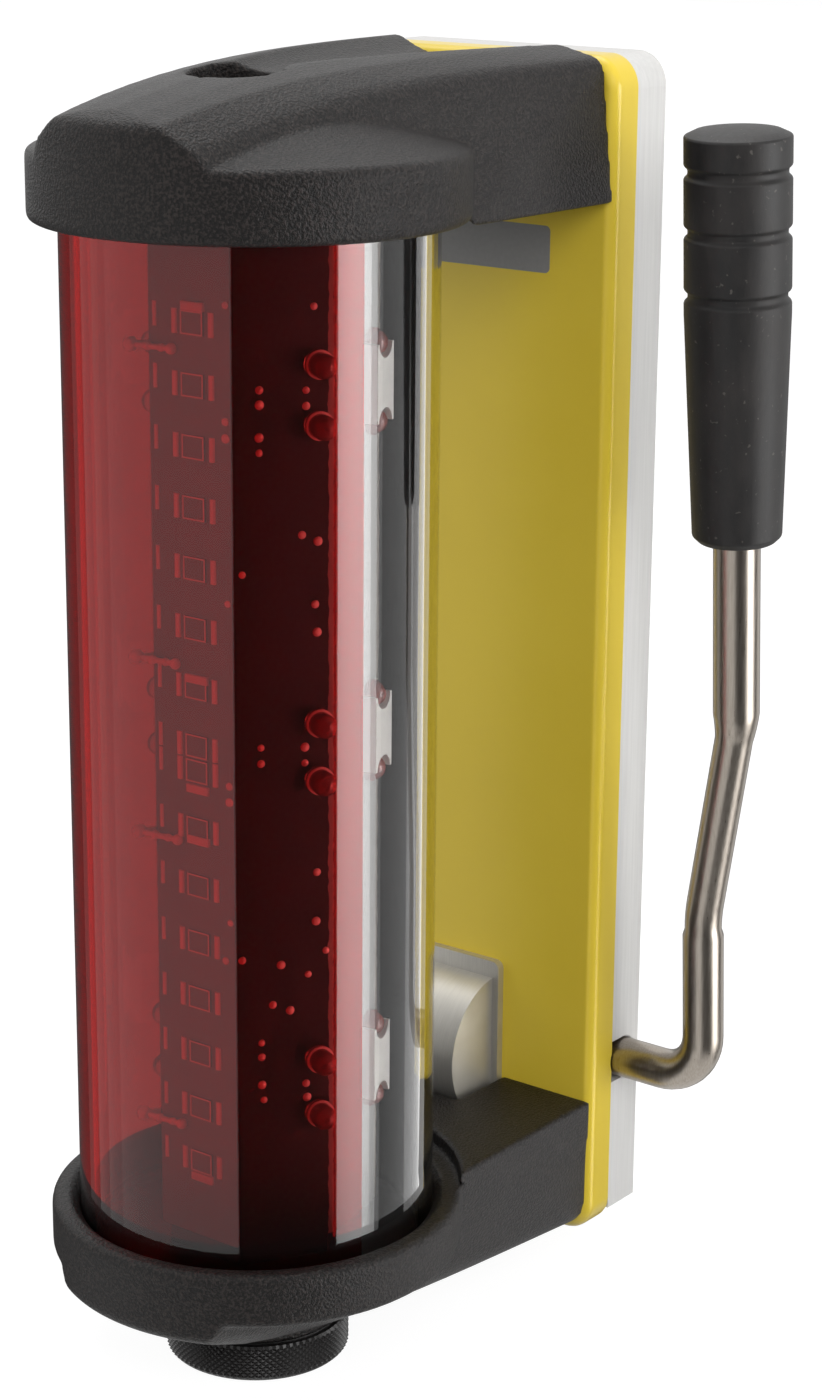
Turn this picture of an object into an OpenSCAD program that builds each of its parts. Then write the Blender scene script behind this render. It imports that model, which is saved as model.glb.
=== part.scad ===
// Laser receiver on a magnetic back plate, with a lever that prises the magnets off.
// Millimetres, +Z up. The origin is the centre of the magnet face and the front looks along -Y.

/* [Tube] */
// Outside diameter of the clear tube
tube_d = 75; // [68:1:80]
// Wall of the clear tube
tube_wall = 3; // [2:0.5:4]
// Length of tube left open between the caps
window_h = 206; // [204:1:230]
// Distance from the magnet face to the tube axis
tube_reach = 92.8; // [90:0.1:105]
// Depth that each end of the tube sits in its cap
tube_seat = 6; // [4:0.5:7]
// Angle from the front to the red film's right edge
film_right_angle = 80; // [60:1:90]
// Angle from the front to the red film's left edge
film_left_angle = 110; // [60:1:125]
// Half of the angle that the dark lining covers at the back
lining_half_angle = 48; // [30:1:52]

/* [End caps] */
// Width of the caps' rim outside the tube
rim_w = 6; // [5:0.5:8]
// Height of the top cap's round wall
top_wall_h = 14.3; // [13:0.1:18]
// Height of the top cap's nose above the window
top_nose_h = 19.2; // [18:0.1:22]
// Height of the top cap's arm above the window, at the plate
top_arm_h = 28.6; // [28:0.1:32]
// Rise of the top cap's crown above the edges of its ridge
top_crown = 3.4; // [2:0.1:4]
// Width of the top cap's ridge at the plate
top_ridge_w = 63; // [56:0.5:68]
// Height of the bottom cap's round wall
bottom_wall_h = 11.6; // [11:0.1:14]
// Depth of the bottom cap's nose below the window
bottom_nose_h = 16.4; // [15:0.1:20]
// Depth of the bottom cap's arm below the window, at the plate
bottom_arm_h = 28; // [27.5:0.1:31]
// Width of the bottom cap's ridge at the plate
bottom_ridge_w = 65; // [58:0.5:68]
// Width of both ridges at the nose
nose_w = 37; // [30:0.5:44]

/* [Back plate and magnet base] */
// Width of the plate and the magnet base
plate_w = 70.8; // [68:0.2:80]
// Thickness of the yellow plate
plate_t = 8.3; // [7:0.1:10]
// Corner radius of the plate
plate_corner = 7; // [4:0.5:9]
// Rounding along the plate's front edge
plate_edge = 2.6; // [1:0.1:3.5]
// Thickness of the magnet base
base_t = 10.4; // [10.4:0.1:13]
// How far the magnet base stands above the window
base_over = 28.65; // [26:0.05:34]
// How far the magnet base reaches below the window
base_under = 25.5; // [24:0.05:28]
// How far the plate reaches below the window
plate_under = 29.6; // [29:0.1:36]
// Diameter of a pot magnet
magnet_d = 40; // [32:1:44]
// Height of a pot magnet
magnet_h = 8; // [6:0.5:8.5]

/* [Lever] */
// Diameter of the lever rod at its grip
rod_d = 10; // [9.2:0.1:10.4]
// Diameter of the lever rod at its foot
rod_foot_d = 9.1; // [8.6:0.1:9.2]
// Height of the lever's shaft above the lower end of the window
pivot_rise = 10.5; // [10:0.1:12]
// Depth of the lever's shaft behind the magnet face
pivot_inset = 5.9; // [5.9:0.1:6.5]
// Distance from the plate's side to the rod's lower upright
lever_stand = 21.6; // [18:0.1:26]
// Radius of the bend at the foot of the rod
foot_bend_r = 11; // [10:0.5:16]
// Height of the rod's jog above the shaft
jog_rise = 36.7; // [28:0.1:42]
// How far the jog takes the rod outwards
jog_out = 8.3; // [3:0.1:10]
// Lean of the lever towards the front at rest
lever_lean = 3.6; // [0:0.1:6]
// Height of the grip's lower end above the shaft
grip_rise = 126.6; // [110:0.1:130]
// Length of the rubber grip
grip_h = 86; // [80:0.5:100]
// Diameter of the grip at its head
grip_d = 22; // [20:0.1:26]
// Diameter of the grip at its lower end
grip_foot_d = 18.8; // [16:0.1:20]
// Radius of the eccentric that prises the magnets off
cam_r = 12.5; // [11:0.1:12.8]
// Distance of the eccentric's centre from the shaft
cam_offset = 11; // [9:0.1:11.5]
// Outside radius of the silver cover round the eccentric
housing_r = 17; // [16.8:0.1:18]
// Width of the silver cover
housing_w = 18.4; // [17:0.1:20]

/* [Electronics] */
// Distance from the tube axis to the outer face of a board
board_face = 18.2; // [18:0.1:20]
// Width of a rear board
rear_board_w = 18.5; // [16:0.1:19]
// Thickness of a board
board_t = 1.6; // [1:0.1:2]
// Number of light sensors above the middle, and as many below
sensors_per_side = 8; // [6:1:8]
// Distance from the end of the window to the nearest sensor
sensor_end = 15.4; // [12:0.1:20]
// Gap between the two sensors beside the middle, centre to centre
sensor_pair = 5.2; // [4.8:0.1:8]
// Diameter of an indicator lamp
led_d = 5; // [3:0.5:5]
// Diameter of a battery cell
cell_d = 26.2; // [24:0.1:26.4]
// Length of a battery cell with its nub
cell_h = 50; // [48:0.1:50]

/* [Battery cap and button] */
// Diameter of the knurled battery cap
knob_d = 39.4; // [38:0.2:44]
// Height of the knurled battery cap
knob_h = 7.8; // [6:0.1:12]
// Diameter of the battery cap's threaded plug
plug_d = 32; // [31:0.1:32]
// Diameter of the power button
button_d = 9.2; // [7:0.1:10]
// Travel of the power button
button_travel = 0.8; // [0.4:0.1:1]

/* [Hidden] */
$fn = 64;

// Clearances and the overrun of every cut
slip = 0.05;
running_gap = 0.1;
rod_gap = 0.4;
seat_gap = 0.3;
overrun = 2;

// Tube, film and gaskets
tube_r = tube_d / 2;
tube_bore_r = tube_r - tube_wall;
film_t = 0.3;
gasket_t = 1.5;

// Heights of the window and the plates, from the centre of the magnet face
base_h = window_h + base_over + base_under;
window_bottom = base_under - base_h / 2;
window_top = window_bottom + window_h;
plate_top = base_h / 2;
plate_bottom = window_bottom - plate_under;
plate_h = plate_top - plate_bottom;
plate_front = -base_t - plate_t;
arm_reach = tube_reach - base_t - plate_t;

// Caps: round wall, shoulder and ridge
ring_r = tube_r + rim_w;
rim_edge = 1.6;
rim_chamfer = 2.2;
shoulder_r_share = 0.46;
shoulder_rise = 7.6;
nose_edge = 3;
nose_slope = 24;
top_foot_h = 1.2;
bottom_foot_h = 3.7;
top_corner = 3.5;
bottom_corner = 7;
nose_corner = 10;
top_rise_power = 3.2;
bottom_rise_power = 4;
foot_front_share = 0.735;
foot_full_share = 0.54;
crease_share = 0.7;
crown_shares = [-0.7, -0.4, 0, 0.4, 0.7];
ridge_steps = 14;
slice_t = 0.01;
hollow_wall = 0.6;
top_hollow_h = 12;
bottom_hollow_h = 9;

// Finger recess and valley on the top cap
recess_r = 9.5;
recess_front = 4;
recess_length = 15.5;
recess_floor = 22;
valley_start = -20;
valley_lip = 28;
valley_w_share = 0.86;
valley_depth = 7;

// Screws: an M5 countersunk or pan head group each
screw_r = 2.5;
screw_head_r = 4.6;
screw_head_h = 2.8;
base_screw_x_share = 0.79;
base_screw_row_shares = [-1.5, 0, 1.5];
base_screw_depth = 6;
arm_screw_depth = 14;
top_arm_screw_x = 15;
bottom_arm_screw_x = 24;
top_arm_screw_z = [7, 21];
bottom_arm_screw_z = [5, 21];

// Pot magnets in their places along the base, the lowest place being the eccentric's
magnet_r = magnet_d / 2;
magnet_place_shares = [2, 1, -1];
magnet_pitch_share = 0.1922;
magnet_pitch = magnet_pitch_share * base_h;
magnet_cup_wall = 4;
magnet_floor = 2.4;
magnet_screw_depth = 1.6;

// Lever: shaft, bends, jog and grip
rod_r = rod_d / 2;
rod_foot_r = rod_foot_d / 2;
jog_r_share = 0.9;
jog_r = jog_r_share * rod_foot_r;
jog_ease = 1.5;
pivot_z = window_bottom + pivot_rise;
rod_entry = 6;
journal_step = 0.55;
journal_r = rod_foot_r - journal_step;
journal_gap = 0.05;
bush_h = 11;
jog_bend_r = 35;
jog_angle = 10.3;
jog_straight = (jog_out - 2 * jog_bend_r * (1 - cos(jog_angle))) / sin(jog_angle);
jog_h = 2 * jog_bend_r * sin(jog_angle) + jog_straight * cos(jog_angle);
bend_steps = 12;
jog_steps = 4;
rod_sides = 28;
upright_x = plate_w / 2 + lever_stand;
rod_end_cover = 10;
grip_r = grip_d / 2;
grip_foot_r = grip_foot_d / 2;
groove_shares = [0.604, 0.755, 0.896];
groove_profile_shares = [[-1, 0], [-0.5, 1], [0.5, 1], [1, 0]];
groove_half = 1.3;
groove_depth = 0.8;
grip_taper_share = 0.56;
grip_round = 1.4;
grip_rim = 0.6;
grip_dome_h = 1.2;
dome_shares = [0.8, 0.5, 0];
cam_w = 12;
cam_gap = 0.3;
cam_window_w = cam_w + 2 * cam_gap;
cam_window_gap = 1;
hub_wall = 1.4;
hub_r = journal_r + hub_wall;
pin_r = 1.25;

// Silver cover
housing_wall = 2;
housing_rise = 0.3;
housing_z = pivot_z + housing_rise;
housing_drop = 3.5;
flange_w = 21.6;
flange_t = 2;
flange_over = 3.8;
flange_corner = 1.8;

// Boards, carrier and lamps
carrier_r = (board_face - board_t) / cos(30);
board_corner_r = board_face / cos(30);
rear_angle = 100;
rear_lean = rear_angle - 90;
rear_gap = 0.5;
mitre_gap = 0.2;
board_half_w = board_face * tan(30) - mitre_gap;
sensor_drop = 2.6;
led_drop = 1;
cell_gap = 0.4;
cell_r = cell_d / 2;
cell_start = 9.5;
nub_r = 3.2;
nub_h = 1;
board_reach = 4;
board_h = window_h + 2 * board_reach;
sensor_w = 5.6;
sensor_h = 4.7;
sensor_t = 0.4;
sensor_offset = 1;
sensor_pitch = (window_h / 2 - sensor_end - sensor_pair / 2) / (sensors_per_side - 1);
led_r = led_d / 2;
led_rim_w = 0.4;
led_rim_r = led_r + led_rim_w;
led_rim_h = 1;
led_body_h = 3.4;
led_offset = 7;
led_half_gap = 6;
led_group_share = 0.35;
led_group_pitch = led_group_share * window_h;
led_spacer_wall = 0.75;
led_spacer_w = 2 * (led_rim_r + slip + led_spacer_wall);
led_spacer_h = 3.3;
rear_led_x = rear_board_w - led_spacer_w / 2;
rear_led_half_gap = 7.9;
link_w = 1;
link_leg = 3.1;
link_offset = 6.5;
link_height_shares = [0.886, 0.579, 0.4, 0.0975];

// Battery contacts, cap and seal
contact_r = 10;
contact_t = 1.5;
cell_count = floor((window_h + top_hollow_h + cell_start - contact_t) / cell_h);
neck_step = 1;
neck_r = knob_d / 2 - neck_step;
neck_inset = 0.2;
neck_h = bottom_arm_h - neck_inset;
knob_gap = 0.4;
knob_chamfer = 0.8;
plug_r = plug_d / 2;
plug_h = 9;
thread_depth = 11;
seal_margin = 0.5;
seal_inner_r = plug_r + seal_margin;
seal_outer_r = neck_r - seal_margin;
seal_t = 1.2;
spring_top_r = 6;
spring_foot_r = 9;
spring_wall = 1.2;

// Button and switch
button_r = button_d / 2;
button_proud = 1.5;
button_flange = 1.3;
button_flange_t = 1.5;
switch_r = 4;
switch_h = 1.2;
switch_gap = 0.4;
button_low = top_hollow_h + switch_h + switch_gap + button_travel;

// Shared shapes

function mix(a, b, t) = a + (b - a) * t;

// A rectangle with round corners
module rounded_rect(w, h, corner) {
    square([w - 2 * corner, h], center = true);
    square([w, h - 2 * corner], center = true);
    for (x = [-1, 1], y = [-1, 1])
        translate([x * (w / 2 - corner), y * (h / 2 - corner)]) circle(corner);
}

// A slab with round corners whose upper edge is rounded all round
module soft_slab(w, h, t, corner, edge) {
    hull() for (x = [-1, 1], y = [-1, 1])
        translate([x * (w / 2 - corner), y * (h / 2 - corner)])
            rotate_extrude() polygon(concat(
                [[0, 0], [corner, 0]],
                [for (a = [0:15:90]) [corner - edge * (1 - cos(a)), t - edge * (1 - sin(a))]],
                [[0, t]]));
}

// A screw along +Y: its head starts at y = 0 and its shank follows
module screw(depth, head_r = screw_head_r, head_h = screw_head_h, shank_r = screw_r) {
    rotate([-90, 0, 0]) {
        cylinder(h = head_h, r = head_r);
        cylinder(h = head_h + depth, r = shank_r);
    }
}

// The hole for that screw, open past its head
module screw_hole(depth, gap) {
    translate([0, -overrun, 0]) rotate([-90, 0, 0])
        cylinder(h = screw_head_h + overrun, r = screw_head_r + gap);
    rotate([-90, 0, 0]) cylinder(h = screw_head_h + depth, r = screw_r + gap);
}

// A round bar along X
module cross_bar(x0, x1, r) {
    translate([x0, 0, 0]) rotate([0, 90, 0]) cylinder(h = x1 - x0, r = r);
}

module at_pivot() { translate([0, -pivot_inset, pivot_z]) children(); }
module at_tube() { translate([0, -tube_reach, window_bottom]) children(); }
module at_top_cap() { translate([0, -tube_reach, window_top]) children(); }
module at_bottom_cap() { translate([0, -tube_reach, window_bottom]) mirror([0, 0, 1]) children(); }

// On one face of the six-sided core, with +Z up and the outside along -Y
module on_face(angle) { rotate([0, 0, angle]) translate([0, -board_face, 0]) children(); }

// On a rear board, which leans back just behind a corner of the core, its front edge at x = 0
module on_rear(side) {
    mirror([side < 0 ? 1 : 0, 0, 0]) rotate([0, 0, rear_angle])
        translate([rear_gap - board_corner_r * sin(rear_lean), -board_corner_r * cos(rear_lean), 0])
            children();
}

// Places of the screws, as [x, z] on the plate
base_screw_places = [for (s = [-1, 1], row = base_screw_row_shares)
    [s * base_screw_x_share * plate_w / 2, row * magnet_pitch]];
arm_screw_places = concat(
    [for (s = [-1, 1], z = top_arm_screw_z) [s * top_arm_screw_x, window_top + z]],
    [for (s = [-1, 1], z = bottom_arm_screw_z) [s * bottom_arm_screw_x, window_bottom - z]]);

// Back plate and magnet base

// The slot that the eccentric swings through
module cam_window() {
    low = pivot_z - cam_offset - cam_r - cam_window_gap;
    high = pivot_z + cam_r + cam_window_gap;
    translate([-cam_window_w / 2, plate_front - overrun, low])
        cube([cam_window_w, base_t + plate_t + 2 * overrun, high - low]);
}

// The cross bore for the bushes and the U-shaped entry for the rod, open to the plate
module shaft_channel() {
    entry = plate_w / 2 - rod_entry - seat_gap;
    at_pivot() {
        cross_bar(-cam_window_w / 2 - bush_h - rod_entry, entry + overrun, rod_foot_r);
        cross_bar(entry, plate_w / 2 + overrun, rod_foot_r + rod_gap);
        translate([entry, -base_t, -rod_foot_r - rod_gap])
            cube([rod_entry + overrun, base_t, 2 * (rod_foot_r + rod_gap)]);
    }
}

module back_plate() {
    color("gold") difference() {
        translate([0, -base_t, (plate_top + plate_bottom) / 2]) rotate([90, 0, 0])
            soft_slab(plate_w, plate_h, plate_t, plate_corner, plate_edge);
        cam_window();
        at_pivot() cross_bar(-cam_window_w / 2 - bush_h - rod_entry, plate_w / 2 + overrun,
                             rod_foot_r + rod_gap);
        for (p = base_screw_places)
            translate([p[0], -base_t, p[1]]) rotate([90, 0, 0])
                translate([0, 0, -overrun]) cylinder(h = base_screw_depth + overrun, r = screw_r + slip);
        for (p = arm_screw_places)
            translate([p[0], -base_t, p[1]]) rotate([0, 0, 180]) screw_hole(arm_screw_depth, slip);
    }
}

module magnet_base() {
    color("gainsboro") difference() {
        rotate([90, 0, 0]) linear_extrude(base_t) {
            rounded_rect(plate_w, base_h, plate_corner);
            translate([-plate_w / 2, -base_h / 2]) square([plate_w, base_h / 2]);
        }
        cam_window();
        shaft_channel();
        for (place = magnet_place_shares) translate([0, 0, place * magnet_pitch]) rotate([90, 0, 0]) {
            translate([0, 0, -overrun]) cylinder(h = magnet_h + overrun, r = magnet_r + slip);
            cylinder(h = magnet_h + magnet_screw_depth + slip, r = screw_r + slip);
        }
        for (p = base_screw_places)
            translate([p[0], 0, p[1]]) rotate([0, 0, 180]) screw_hole(base_t, slip);
    }
}

module magnet_cups() {
    color("silver") for (place = magnet_place_shares)
        translate([0, 0, place * magnet_pitch]) rotate([90, 0, 0]) difference() {
            cylinder(h = magnet_h, r = magnet_r);
            translate([0, 0, -overrun])
                cylinder(h = magnet_h - magnet_floor + overrun, r = magnet_r - magnet_cup_wall);
            cylinder(h = magnet_h + overrun, r = screw_r + slip);
        }
}

module magnet_cores() {
    core_h = magnet_h - magnet_floor;
    color("dimgray") for (place = magnet_place_shares)
        translate([0, 0, place * magnet_pitch]) rotate([90, 0, 0]) difference() {
            cylinder(h = core_h, r = magnet_r - magnet_cup_wall - slip);
            translate([0, 0, -overrun]) cylinder(h = screw_head_h + overrun, r = screw_head_r + slip);
            cylinder(h = core_h + overrun, r = screw_r + slip);
        }
}

module magnet_screws() {
    color("lightgray") for (place = magnet_place_shares)
        translate([0, 0, place * magnet_pitch]) rotate([0, 0, 180])
            screw(magnet_h + magnet_screw_depth - screw_head_h);
}

module base_screws() {
    color("lightgray") for (p = base_screw_places)
        translate([p[0], 0, p[1]]) rotate([0, 0, 180])
            screw(base_t + base_screw_depth - screw_head_h);
}

module arm_screws() {
    color("lightgray") for (p = arm_screw_places)
        translate([p[0], -base_t, p[1]]) rotate([0, 0, 180])
            screw(plate_t + arm_screw_depth - screw_head_h);
}

// Lever and eccentric

// Half round cover on a flange, cut off just below the top of the lower arm
module pivot_housing() {
    low = window_bottom + bottom_foot_h - housing_drop;
    flange_h = housing_r + flange_over + housing_z - low;
    inner_r = housing_r - housing_wall;
    color("silver") difference() {
        union() {
            translate([0, plate_front, housing_z]) rotate([0, 90, 0])
                cylinder(h = housing_w, r = housing_r, center = true);
            translate([0, plate_front, low + flange_h / 2]) rotate([90, 0, 0])
                linear_extrude(flange_t) rounded_rect(flange_w, flange_h, flange_corner);
        }
        translate([0, plate_front, housing_z]) rotate([0, 90, 0])
            cylinder(h = housing_w - 2 * housing_wall, r = inner_r, center = true);
        translate([-plate_w / 2, plate_front, low - housing_r])
            cube([plate_w, housing_r + overrun, 2 * housing_r + flange_h]);
        translate([-plate_w / 2, plate_front - housing_r - overrun, low - 2 * housing_r])
            cube([plate_w, housing_r + 2 * overrun, 2 * housing_r]);
    }
}

// Centre line of the rod in the plane of its bends, as [x, z, direction, radius]
function rod_path() =
    let (top_z = grip_rise + grip_h - rod_end_cover,
         bend_x = upright_x - foot_bend_r,
         out_x = upright_x + jog_out)
    concat(
        [[plate_w / 2 - rod_entry, 0, 0, rod_foot_r]],
        [for (i = [0:bend_steps]) let (a = 90 * i / bend_steps)
            [bend_x + foot_bend_r * sin(a), foot_bend_r * (1 - cos(a)), a, rod_foot_r]],
        [[upright_x, jog_rise - jog_ease, 90, rod_foot_r]],
        [for (i = [0:jog_steps]) let (a = jog_angle * i / jog_steps)
            [upright_x + jog_bend_r * (1 - cos(a)), jog_rise + jog_bend_r * sin(a), 90 - a, jog_r]],
        [for (i = [jog_steps:-1:0]) let (a = jog_angle * i / jog_steps)
            [out_x - jog_bend_r * (1 - cos(a)), jog_rise + jog_h - jog_bend_r * sin(a), 90 - a,
                mix(rod_r, jog_r, i / jog_steps)]],
        [[out_x, top_z, 90, rod_r]]);

// A round bar swept along such a centre line
module swept_bar(path, sides) {
    rings = len(path);
    points = [for (p = path, i = [0:sides - 1]) let (a = 360 * i / sides, n = p[3] * cos(a))
        [p[0] - n * sin(p[2]), p[3] * sin(a), p[1] + n * cos(p[2])]];
    walls = [for (k = [0:rings - 2], i = [0:sides - 1]) let (j = (i + 1) % sides)
        [k * sides + i, k * sides + j, (k + 1) * sides + j, (k + 1) * sides + i]];
    polyhedron(points, concat(
        [[for (i = [sides - 1:-1:0]) i]],
        walls,
        [[for (i = [0:sides - 1]) (rings - 1) * sides + i]]));
}

// Bent rod on a turned journal: shaft, foot bend, upright, jog and upper stretch
module lever_rod() {
    color("darkgray") at_pivot() difference() {
        union() {
            cross_bar(-cam_window_w / 2 - bush_h, plate_w / 2 - rod_entry + overrun, journal_r);
            rotate([lever_lean, 0, 0]) swept_bar(rod_path(), rod_sides);
        }
        cylinder(h = 2 * hub_r + overrun, r = pin_r + slip, center = true);
    }
}

// Turned outline of the grip, from its foot up to its domed head
module grip_outline() {
    taper_h = grip_taper_share * grip_h;
    polygon(concat(
        [[0, 0], [grip_foot_r - grip_round, 0], [grip_foot_r, grip_round], [grip_r, taper_h]],
        [for (share = groove_shares, edge = groove_profile_shares)
            [grip_r - edge[1] * groove_depth, share * grip_h + edge[0] * groove_half]],
        [[grip_r, grip_h - grip_dome_h - grip_rim]],
        [for (s = dome_shares) [s * grip_r, grip_h - grip_dome_h * s * s]]));
}

module lever_grip() {
    color("#222222") at_pivot() rotate([lever_lean, 0, 0])
        translate([upright_x + jog_out, 0, grip_rise]) difference() {
            rotate_extrude() grip_outline();
            translate([0, 0, -overrun]) cylinder(h = grip_h - rod_end_cover + overrun, r = rod_r + slip);
        }
}

// Eccentric disc with its hub on the shaft, pointing to the front at rest
module release_cam() {
    color("slategray") at_pivot() difference() {
        union() {
            translate([0, -cam_offset, 0]) cross_bar(-cam_w / 2, cam_w / 2, cam_r);
            cross_bar(-cam_w / 2, cam_w / 2, hub_r);
        }
        cross_bar(-cam_w / 2 - overrun, cam_w / 2 + overrun, journal_r + slip);
        cylinder(h = 2 * cam_r + overrun, r = pin_r + slip, center = true);
    }
}

module cam_pin() {
    color("gray") at_pivot() cylinder(h = 2 * hub_r, r = pin_r, center = true);
}

module shaft_bushes() {
    inner = cam_window_w / 2;
    outer = plate_w / 2 - rod_entry - seat_gap;
    color("peru") at_pivot() for (x = [-inner - bush_h, outer - bush_h]) difference() {
        cross_bar(x, x + bush_h, rod_foot_r);
        cross_bar(x - overrun, x + bush_h + overrun, journal_r + journal_gap);
    }
}

// End caps. Both are drawn from the window outwards, the tube axis at x = y = 0.

function ridge_y(t) = mix(-ring_r, arm_reach, t);
function ridge_h(nose_h, arm_h, power, t) = arm_h - (arm_h - nose_h) * pow(1 - t, power);
function foot_half(t) = plate_w / 2 * min(1, mix(foot_front_share, 1, t / foot_full_share));
function corner_arc(x, z, r) =
    [for (a = [0:15:90]) [x + r * (cos(a) - crease_share), z + r * (sin(a) - 1)]];
function flip(points) = [for (i = [len(points) - 1:-1:0]) [-points[i][0], points[i][1]]];

// Outline of the ridge across its length, at share t of the way from nose to plate
function ridge_section(t, nose_h, arm_h, back_w, foot_h, corner, crown, power) =
    let (half = mix(nose_w, back_w, t) / 2,
         height = ridge_h(nose_h, arm_h, power, t),
         side = concat([[foot_half(t), -foot_h]], corner_arc(half, height, mix(nose_corner, corner, t))),
         top = [for (s = crown_shares) [-s * half, height + crown * (1 - s * s)]])
    concat(side, top, flip(side));

module ridge(nose_h, arm_h, back_w, foot_h, corner, crown, power) {
    hull() for (i = [0:ridge_steps]) {
        t = i / ridge_steps;
        translate([0, ridge_y(t), 0]) rotate([90, 0, 0]) linear_extrude(slice_t)
            polygon(ridge_section(t, nose_h, arm_h, back_w, foot_h, corner, crown, power));
    }
}

// Round wall with its eased edges and sloping shoulder
module round_wall(wall_h) {
    rotate_extrude() polygon(concat(
        [[0, 0]],
        [for (a = [-90:22.5:0]) [ring_r - rim_edge * (1 - cos(a)), rim_edge * (1 + sin(a))]],
        [for (a = [0:22.5:67.5])
            [ring_r - rim_edge * (1 - cos(a)), wall_h - rim_edge * (1 - sin(a))]],
        [[ring_r * shoulder_r_share, wall_h + shoulder_rise], [0, wall_h + shoulder_rise]]));
}

// Limits the ridge to the round wall at the nose, with a rounded brow
module nose_limit(nose_h, foot_h, crown, arm_h) {
    brow_z = nose_h + crown - nose_edge;
    top_z = arm_h + crown + ring_r;
    rotate_extrude() polygon(concat(
        [[0, rim_edge], [ring_r, rim_edge]],
        [for (a = [0:11:90 - nose_slope])
            [ring_r - nose_edge * (1 - cos(a)), brow_z + nose_edge * sin(a)]],
        [[0, brow_z + nose_edge + ring_r * tan(nose_slope)]]));
    translate([-ring_r, 0, -foot_h - overrun])
        cube([2 * ring_r, arm_reach, top_z + foot_h]);
}

module cap_body(wall_h, nose_h, arm_h, back_w, foot_h, corner, crown, power) {
    round_wall(wall_h);
    intersection() {
        ridge(nose_h, arm_h, back_w, foot_h, corner, crown, power);
        nose_limit(nose_h, foot_h, crown, arm_h);
    }
}

// Seat for the tube and its gasket, with a chamfered mouth and a hollow beyond
module cap_bore(hollow_h, foot_h) {
    seat = tube_seat + gasket_t;
    wall_r = tube_r + slip;
    rotate_extrude() polygon([
        [0, -foot_h - overrun], [ring_r, -foot_h - overrun], [ring_r, 0], [wall_r + rim_chamfer, 0],
        [wall_r, rim_chamfer], [wall_r, seat], [tube_bore_r - hollow_wall, seat],
        [tube_bore_r - hollow_wall, hollow_h], [0, hollow_h]]);
}

module arm_screw_holes() {
    for (p = arm_screw_places)
        translate([p[0], plate_front + overrun, p[1]]) rotate([90, 0, 0])
            cylinder(h = arm_screw_depth + overrun + slip, r = screw_r + slip);
}

// Teardrop outline, round towards the nose and pointed towards the plate
module teardrop() {
    a = asin(recess_r / recess_length);
    circle(recess_r);
    polygon([[0, recess_length], [-recess_r * cos(a), recess_r * sin(a)],
             [recess_r * cos(a), recess_r * sin(a)]]);
}

// Valley that opens from the finger recess towards the plate
module valley() {
    high = top_arm_h + top_crown + overrun;
    half = valley_w_share * top_ridge_w / 2;
    floor_z = top_arm_h + top_crown - valley_depth;
    hull() {
        translate([0, valley_start, high]) sphere(slice_t, $fn = 8);
        translate([0, valley_start, valley_lip]) sphere(slice_t, $fn = 8);
        translate([0, arm_reach + overrun, 0]) rotate([90, 0, 0]) linear_extrude(slice_t)
            polygon([for (s = [-1:0.2:1]) [s * half, mix(floor_z, high, s * s)]]);
    }
}

module top_cap() {
    color("#2f2c2c") difference() {
        at_top_cap() difference() {
            cap_body(top_wall_h, top_nose_h, top_arm_h, top_ridge_w, top_foot_h, top_corner,
                     top_crown, top_rise_power);
            cap_bore(top_hollow_h, top_foot_h);
            valley();
            translate([0, -recess_front, recess_floor]) linear_extrude(top_arm_h) teardrop();
            translate([0, -recess_front, top_hollow_h - overrun])
                cylinder(h = recess_floor, r = button_r + running_gap);
            translate([0, -recess_front, top_hollow_h - overrun])
                cylinder(h = button_low - top_hollow_h + button_flange_t + overrun + running_gap,
                         r = button_r + button_flange + running_gap);
        }
        arm_screw_holes();
    }
}

module bottom_cap() {
    pocket_low = pivot_z - cam_offset - cam_r - cam_window_gap;
    pocket_high = window_bottom + overrun + housing_r;
    pocket_w = flange_w + 2 * seat_gap;
    color("#2f2c2c") difference() {
        at_bottom_cap() difference() {
            union() {
                cap_body(bottom_wall_h, bottom_nose_h, bottom_arm_h, bottom_ridge_w, bottom_foot_h,
                         bottom_corner, 0, bottom_rise_power);
                translate([0, 0, bottom_hollow_h]) cylinder(h = neck_h - bottom_hollow_h, r = neck_r);
            }
            cap_bore(bottom_hollow_h, bottom_foot_h);
            cylinder(h = bottom_arm_h + overrun, r = cell_r + cell_gap);
            translate([0, 0, neck_h - thread_depth])
                cylinder(h = thread_depth + overrun, r = plug_r + running_gap);
        }
        arm_screw_holes();
        translate([-pocket_w / 2, plate_front - housing_r - seat_gap, pocket_low])
            cube([pocket_w, housing_r + seat_gap + overrun, pocket_high - pocket_low]);
    }
}

// Tube, film and gaskets

module ring(inner_r, outer_r, h) {
    difference() {
        cylinder(h = h, r = outer_r);
        translate([0, 0, -overrun]) cylinder(h = h + 2 * overrun, r = inner_r);
    }
}

module receiver_tube() {
    color("white", 0.3) at_tube() translate([0, 0, -tube_seat])
        ring(tube_bore_r, tube_r, window_h + 2 * tube_seat);
}

// A film against the tube's bore, between two angles counted from the front
module film(from, to) {
    at_tube() rotate([0, 0, from - 90]) rotate_extrude(angle = to - from)
        translate([tube_bore_r - slip - film_t, -tube_seat]) square([film_t, window_h + 2 * tube_seat]);
}

module red_filter() {
    color("red", 0.5) film(-film_left_angle, film_right_angle);
}

module rear_lining() {
    color("#303030") film(180 - lining_half_angle, 180 + lining_half_angle);
}

module top_gasket() {
    color("black") at_top_cap() translate([0, 0, tube_seat]) ring(tube_bore_r, tube_r, gasket_t);
}

module bottom_gasket() {
    color("black") at_bottom_cap() translate([0, 0, tube_seat]) ring(tube_bore_r, tube_r, gasket_t);
}

// Electronics

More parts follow.
